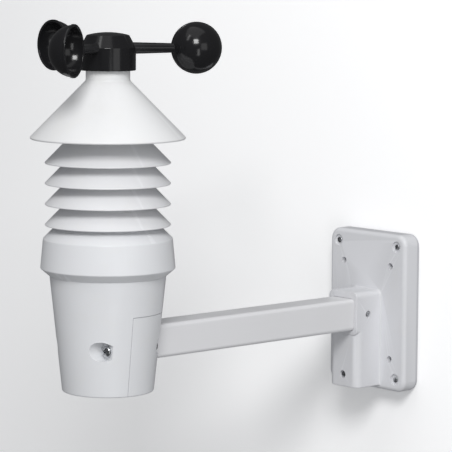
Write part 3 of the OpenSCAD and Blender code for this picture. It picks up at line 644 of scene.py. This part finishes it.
def pan_screw(name, head, direction, head_r, head_h, shank_r, length):
    """Pan-head screw with a cross recess, seated at the point head, with its shank along direction."""
    dome = [(head_r * math.sin(TAU_4 * k / 10), -head_h + head_h * 0.55 * (1 - math.cos(TAU_4 * k / 10)))
            for k in range(11)]
    shank = [(shank_r, 0), (shank_r, length - shank_r), (shank_r * 0.3, length), (0, length)]
    outline = [*dome, (head_r, -0.12 * head_h), (head_r * 0.95, 0), *shank]
    place = Matrix.Translation(head) @ Vector(direction).to_track_quat("Z", "Y").to_matrix().to_4x4()
    screw = lathe(name, outline, 64, place, closed=False)
    half, slot_w, deep = head_r * 0.62, head_r * 0.13, head_h * 0.62
    for size in ((half, slot_w), (slot_w, half)):
        cutter = box("recess", (-size[0], -size[1], -head_h - 1 * MM), (size[0], size[1], -head_h + deep))
        cutter.data.transform(place @ Matrix.Rotation(math.radians(20), 4, "Z"))
        combine(screw, [cutter], "DIFFERENCE")
    return screw


def make_screws():
    """Every screw that shows from outside."""
    for node, side, reach in (("front_screws", -1, 27 * MM), ("rear_screws", 1, 14 * MM)):
        made = []
        for x in (-POCKET_X, POCKET_X):
            seat = SENSOR + Vector((x, side * POCKET_FLOOR, 0))
            name = f"{node}_{len(made)}"
            made.append(pan_screw(name, seat, (0, -side, 0), 4.4 * MM, 3.6 * MM, 2 * MM, reach))
        settle(join(made[0], made[1:]), "station", node, "screw_steel")
    low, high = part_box("plate_screws")
    head_r, shank_end = 2.4 * MM, high.y
    made = []
    for x in (low.x + head_r, high.x - head_r):
        for z in (low.z + head_r, high.z - head_r):
            seat = Vector((x, PLATE_FRONT + 1.6 * MM, z))
            made.append(pan_screw(f"plate_screw_{len(made)}", seat, (0, 1, 0), head_r, 1.4 * MM, 1.25 * MM,
                                  shank_end - seat.y))
    settle(join(made[0], made[1:]), "station", "plate_screws", "screw_steel")
    head_h = 1.2 * MM
    seat_x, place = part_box("socket_side_screws")[1].x - head_h, middle("socket_side_screws")
    made = []
    for side in (-1, 1):
        seat = Vector((side * seat_x, place.y, place.z))
        made.append(pan_screw(f"side_screw_{side}", seat, (-side, 0, 0), 2.4 * MM, head_h, 1.5 * MM, 5 * MM))
    settle(join(made[0], made[1:]), "station", "socket_side_screws", "screw_steel")
    low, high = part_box("rib_screw")
    seat = Vector((0, low.y + 1.5 * MM, (low.z + high.z) / 2))
    screw = pan_screw("rib_screw_pan", seat, (0, 1, 0), 2.7 * MM, 1.5 * MM, 1.5 * MM, high.y - seat.y)
    settle(screw, "station", "rib_screw", "screw_steel")


# ---------- pieces: arm and bracket ----------

def arm_bar(name, width, corner, y0, y1):
    """Square bar with round corners along the arm's axis."""
    outline = rounded_rect(width, width, corner)
    return loft(name, [flat_ring(outline, y, 0, ARM_Z) for y in (y0, y1)])


def make_arm():
    """Square tube with round corners and deburred ends."""
    width, wall, corner = ARM_HIGH.x - ARM_LOW.x, 2 * MM, 3.2 * MM
    edge, bore_w = 0.3 * MM, width - 2 * wall
    outer, inner = rounded_rect(width, width, corner), rounded_rect(bore_w, bore_w, 1.6 * MM)
    worn = rounded_rect(width - 2 * edge, width - 2 * edge, corner - edge)
    y0, y1 = ARM_LOW.y, ARM_HIGH.y
    rings = [(worn, y0), (outer, y0 + edge), (outer, y1 - edge), (worn, y1), (inner, y1), (inner, y0)]
    tube = loft("arm_square_tube", [flat_ring(o, y, 0, ARM_Z) for o, y in rings], closed=True)
    side = middle("socket_side_screws")
    pin = middle("arm_cross_pin")
    bores = [rod("arm_side_bore", (-0.03, side.y, side.z), (0.03, side.y, side.z), 1.56 * MM),
             rod("arm_pin_bore", (0, pin.y, ARM_Z - 0.03), (0, pin.y, ARM_Z + 0.03), 2.06 * MM)]
    combine(tube, bores, "DIFFERENCE")
    settle(tube, "station", "arm_tube", "arm_white")


PLATE_FRONT = -16.5 * MM
SOCKET_W, SOCKET_TOP, ROOT_R = 32.8 * MM, 17.6 * MM, 1.8 * MM


def quarter(steps):
    """Angles from 0 to a quarter turn."""
    return [TAU_4 * k / steps for k in range(steps + 1)]


def inset_ring(width, height, corner, inset, y):
    """Outline of a bar at depth y, drawn in by inset, or out if that is negative."""
    return flat_ring(rounded_rect(width - 2 * inset, height - 2 * inset, corner - inset), y)


def soft_front(width, height, corner, front, edge, steps):
    """Rings of a bar's rounded front edge."""
    return [inset_ring(width, height, corner, edge * (1 - math.cos(a)), front + edge * (1 - math.sin(a)))
            for a in quarter(steps)]


def soft_plate(name, width, height, corner, front, back, edge):
    """Plate with round corners and a rounded front edge."""
    return loft(name, [inset_ring(width, height, corner, 0, back),
                       *soft_front(width, height, corner, front, edge, 8)])


def rooted_bar(name, width, height, corner, front, edge):
    """Bar out of the plate with a hollow fillet at its root and a rounded front edge."""
    rings = [inset_ring(width, height, corner, -ROOT_R, PLATE_FRONT + 2 * MM)]
    for a in quarter(6):
        rings.append(inset_ring(width, height, corner, ROOT_R * (math.sin(a) - 1),
                                PLATE_FRONT - ROOT_R * (1 - math.cos(a))))
    return loft(name, rings + soft_front(width, height, corner, front, edge, 6))


def rib_bar(name, front, low, high):
    """Rib below the socket: round front corners, a hollow root and a rounded lower edge."""
    corner, half, edge = 6.5 * MM, SOCKET_W / 2, 0.8 * MM

    def outline(inset):
        root_x = half + ROOT_R - inset
        right = [Vector((root_x, PLATE_FRONT + 2 * MM)), Vector((root_x, PLATE_FRONT))]
        for a in quarter(5)[1:]:
            right.append(Vector((root_x - ROOT_R * math.sin(a), PLATE_FRONT - ROOT_R * (1 - math.cos(a)))))
        for a in quarter(10):
            right.append(Vector((half - corner + (corner - inset) * math.cos(a),
                                 front + corner - (corner - inset) * math.sin(a))))
        return right + [Vector((-p.x, p.y)) for p in reversed(right)]

    levels = [(edge * (1 - math.sin(a)), low + edge * (1 - math.cos(a))) for a in quarter(4)]
    return loft(name, [[Vector((p.x, p.y, z)) for p in outline(d)] for d, z in [*levels, (0, high)]])


def make_bracket():
    """Moulded bracket: plate with a soft edge, arm socket, rib, screw pockets and wall holes."""
    width, height = PLATE_HIGH.x - PLATE_LOW.x, PLATE_HIGH.z - PLATE_LOW.z
    back, wall = PLATE_HIGH.y, 2.5 * MM
    socket_front = PLATE_LOW.y
    plate = soft_plate("bracket_moulding", width, height, 9.5 * MM, PLATE_FRONT, back, 3.6 * MM)
    hollow = soft_plate("hollow", width - 2 * wall, height - 2 * wall, 7 * MM, PLATE_FRONT + wall,
                        back + 1 * MM, 1 * MM)
    combine(plate, [hollow], "DIFFERENCE")
    core = box("core", (-SOCKET_W / 2, PLATE_FRONT + 1 * MM, -SOCKET_TOP), (SOCKET_W / 2, back, SOCKET_TOP))
    socket = rooted_bar("socket", SOCKET_W, 2 * SOCKET_TOP, 4.5 * MM, socket_front, 0.5 * MM)
    rib = rib_bar("rib", socket_front + 0.7 * MM, -61.5 * MM, 0)
    combine(plate, [socket, rib, core], "UNION")
    head_r, post_r = 2.4 * MM, 5.6 * MM
    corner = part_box("plate_screws")[1] - Vector((head_r, 0, head_r))
    holes = ((27 * MM, 38.5 * MM, 2.6 * MM), (corner.x, corner.z, 1.31 * MM))
    posts, cuts = [], []
    for sx in (-1, 1):
        for sz in (-1, 1):
            for x, z, bore in holes:
                tag = f"{len(posts)}"
                spot = Vector((sx * x, 0, sz * z))
                post = (spot + Vector((0, PLATE_FRONT + 2 * MM, 0)), spot + Vector((0, back, 0)))
                posts.append(rod("post" + tag, *post, post_r))
                through = (spot - Vector((0, 40 * MM, 0)), spot + Vector((0, 10 * MM, 0)))
                cuts.append(rod("bore" + tag, *through, bore))
            pocket = Vector((sx * corner.x, PLATE_FRONT, sz * corner.z))
            cuts.append(rod(f"pocket{len(cuts)}", pocket - Vector((0, 1 * MM, 0)),
                            pocket + Vector((0, 1.6 * MM, 0)), 4.7 * MM))
    combine(plate, posts, "UNION")
    side = middle("socket_side_screws")
    rib_z = middle("rib_screw").z
    cuts.append(arm_bar("arm_bore", 26.4 * MM, 3.2 * MM, socket_front - 1 * MM, -6 * MM))
    cuts.append(rod("rib_recess", (0, socket_front, rib_z), (0, socket_front + 2.7 * MM, rib_z), 3.2 * MM))
    cuts.append(rod("rib_bore", (0, socket_front, rib_z), (0, -3 * MM, rib_z), 1.56 * MM))
    for s in (-1, 1):
        face = Vector((s * SOCKET_W / 2, side.y, side.z))
        inward = Vector((-s * MM, 0, 0))
        cuts.append(rod(f"side_recess{s}", face - inward, face + 1.4 * inward, 2.7 * MM))
        cuts.append(rod(f"side_bore{s}", face, face + 5 * inward, 1.56 * MM))
    combine(plate, cuts, "DIFFERENCE")
    soften(plate, 0.25 * MM, 60)
    settle(plate, "station", "wall_bracket", "bracket_white")


# ---------- pieces: wind rotor ----------

CUP_R, CUP_WALL, CUP_ORBIT = 18.9 * MM, 1.4 * MM, 66.7 * MM
CUP_ANGLES = (60.5, 180.5, 300.5)


def make_hub():
    """Hub with a slightly domed top, a wide bevel and a straight side, hollow but for a boss on the shaft."""
    hub_r, low, top = HUB_HIGH.x, HUB_LOW.z, HUB_HIGH.z
    top_r, side_z, bevel_z = 15.8 * MM, low + 16.9 * MM, low + 26.1 * MM
    inner = hub_r - 2.4 * MM
    dome = [(top_r * k / 10, bevel_z + (top - bevel_z) * (1 - (k / 10) ** 2), 0) for k in range(10)]
    outline = fillet([
        *dome, (top_r, bevel_z, 1 * MM), (hub_r, side_z, 1 * MM), (hub_r, low, 0.6 * MM),
        (inner, low, 0.4 * MM),
        (inner, side_z - 1 * MM, 1 * MM), (top_r - 2.4 * MM, bevel_z - 2.4 * MM, 0.5 * MM),
        (5.2 * MM, bevel_z - 2.4 * MM, 0.5 * MM), (5.2 * MM, low + 8 * MM, 0.3 * MM),
        (2.02 * MM, low + 8 * MM, 0.2 * MM), (2.02 * MM, 229 * MM, 0), (0, 229 * MM, 0)], 6)
    hub = lathe("rotor_cap", outline, 128, closed=False)
    settle(hub, "rotor", "rotor_hub", "rotor_black")


def make_cup(number):
    """Half-sphere wind cup with a thin lip, on a round tapered arm out of the hub."""
    low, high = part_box(f"wind_cup_{number}")
    turn = Matrix.Translation(SENSOR + Vector((0, 0, (low.z + high.z) / 2))) @ Matrix.Rotation(
        math.radians(CUP_ANGLES[number - 1]), 4, "Z")
    place = turn @ Matrix.Translation((CUP_ORBIT, 0, 0)) @ Matrix.Rotation(-TAU_4, 4, "X")
    lip_h, lip_r, inner = 1.6 * MM, CUP_R + 0.5 * MM, CUP_R - CUP_WALL
    mid_wall = CUP_R - CUP_WALL / 2
    angles = quarter(24)
    lip_angle = math.asin(lip_h / CUP_R)
    outside = [(CUP_R * math.cos(a), -CUP_R * math.sin(a), 0)
               for a in (TAU_4 + (lip_angle / TAU_4 - 1) * t for t in angles)]
    inside = [(inner * math.cos(a), -inner * math.sin(a), 0) for a in angles[1:-1]]
    outline = fillet([(0, -CUP_R, 0), *outside[1:], (lip_r, -lip_h, 0.3 * MM), (lip_r, 0, 0.45 * MM),
                      (inner, 0, 0.4 * MM), *inside, (0, -inner, 0)], 4)
    cup = lathe(f"cup_shell_{number}", outline, 128, place, closed=False)
    root, tip = (turn @ Vector((x, -3 * MM, 0)) for x in (17 * MM, CUP_ORBIT - CUP_R / 2))
    arm = rod(f"cup_arm_{number}", root, tip, 4.37 * MM, 3.35 * MM, 64)
    bowl = [(mid_wall * math.cos(a), -mid_wall * math.sin(a)) for a in reversed(angles[:-1])]
    bowl = [(0, -mid_wall), *bowl, (mid_wall, 20 * MM), (0, 20 * MM)]
    hollow = lathe("hollow", bowl, 96, place, closed=False)
    combine(arm, [hollow], "DIFFERENCE")
    combine(cup, [arm], "UNION")
    settle(cup, "rotor", f"wind_cup_{number}", "rotor_black")


def make_pieces():
    """Builds every replacement piece."""
    make_cone()
    deck = COLLAR_HIGH.z
    for number in (1, 2, 3, 4):
        make_louvre(number, deck)
        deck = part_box(f"louvre_{number}")[1].z
    make_collar()
    make_shell("housing_front", "front_shell", -1, 1 * MM)
    make_shell("housing_rear", "rear_cover", 1, 14 * MM)
    make_screws()
    make_arm()
    make_bracket()
    make_hub()
    for number in (1, 2, 3):
        make_cup(number)


# ---------- light and stage ----------

def area_light(name, azimuth, elevation, distance, width, height, power, aim=Vector((0, -0.2, 0.08))):
    """Rectangular soft light. Azimuth 0 stands in front, and 90 on the side of +X."""
    a, e = math.radians(azimuth), math.radians(elevation)
    back = Vector((math.sin(a) * math.cos(e), -math.cos(a) * math.cos(e), math.sin(e)))
    data = bpy.data.lights.new(name, "AREA")
    data.shape, data.size, data.size_y, data.energy = "RECTANGLE", width, height, power
    lamp = bpy.data.objects.new(name, data)
    lamp.location = aim + back * distance
    lamp.rotation_euler = back.to_track_quat("Z", "Y").to_euler()
    SCENE.collection.objects.link(lamp)


def make_light():
    """White studio: even sky, a large overhead light, a key and a fill, and strips that show in the gloss."""
    world = bpy.data.worlds.new("studio")
    world.use_nodes = True
    SCENE.world = world
    nodes, links = world.node_tree.nodes, world.node_tree.links
    path = nodes.new("ShaderNodeLightPath")
    sky = nodes["Background"]
    sky.inputs["Color"].default_value = (0.97, 0.98, 1.0, 1)
    soft = nodes.new("ShaderNodeMapRange")
    soft.inputs["To Min"].default_value = 0.36
    soft.inputs["To Max"].default_value = 0.08
    links.new(path.outputs["Is Glossy Ray"], soft.inputs["Value"])
    seen = nodes.new("ShaderNodeMix")
    links.new(path.outputs["Is Camera Ray"], seen.inputs[0])
    links.new(soft.outputs["Result"], seen.inputs[2])
    seen.inputs[3].default_value = 1.0
    links.new(seen.outputs[0], sky.inputs["Strength"])
    area_light("overhead", 20, 78, 1.6, 1.6, 1.6, 4.5)
    area_light("key", 48, 34, 1.9, 0.6, 0.6, 19)
    area_light("side_fill", 85, 10, 2.0, 1.0, 1.0, 3.2)
    area_light("strip_low", 60, -14, 1.5, 0.26, 0.8, 1.6)
    area_light("strip_high", 4, 48, 1.5, 0.2, 0.6, 1.0)
    SCENE.view_settings.view_transform = "Standard"


def stage_material(name, seen_gain):
    """Matt white with a clear back. Only the camera sees it, so it neither blocks nor adds light."""
    s = Shader(name)
    nodes, links = s.tree.nodes, s.tree.links
    matt = nodes.new("ShaderNodeBsdfDiffuse")
    matt.inputs["Color"].default_value = (seen_gain, seen_gain, seen_gain, 1)
    clear = nodes.new("ShaderNodeBsdfTransparent")
    path, side = nodes.new("ShaderNodeLightPath"), nodes.new("ShaderNodeNewGeometry")
    shown = nodes.new("ShaderNodeMath")
    shown.operation, shown.use_clamp = "SUBTRACT", True
    links.new(path.outputs["Is Camera Ray"], shown.inputs[0])
    links.new(side.outputs["Backfacing"], shown.inputs[1])
    pick = nodes.new("ShaderNodeMixShader")
    links.new(shown.outputs[0], pick.inputs[0])
    links.new(clear.outputs[0], pick.inputs[1])
    links.new(matt.outputs[0], pick.inputs[2])
    links.new(pick.outputs[0], nodes["Material Output"].inputs["Surface"])
    nodes.remove(s.surface)
    return s.material


def make_stage():
    """Pale floor below the object, and the wall that it hangs on, which can be seen only from the front."""
    floor_z, reach, gap = -0.30, 4.0, 0.3 * MM
    gains = {"floor": 4.0, "wall": 1.3}
    sheets = {
        "floor": [(-reach, -reach, floor_z), (reach, -reach, floor_z), (reach, reach, floor_z),
                  (-reach, reach, floor_z)],
        "wall": [(-reach, gap, floor_z), (reach, gap, floor_z), (reach, gap, reach), (-reach, gap, reach)],
    }
    for name, corners in sheets.items():
        mesh = bpy.data.meshes.new(name)
        mesh.from_pydata(corners, [], [(0, 1, 2, 3)])
        mesh.materials.append(stage_material(f"{name}_white", gains[name]))
        sheet = bpy.data.objects.new(name, mesh)
        SCENE.collection.objects.link(sheet)


make_camera()
make_light()
make_stage()
finish_cad_nodes()
make_pieces()
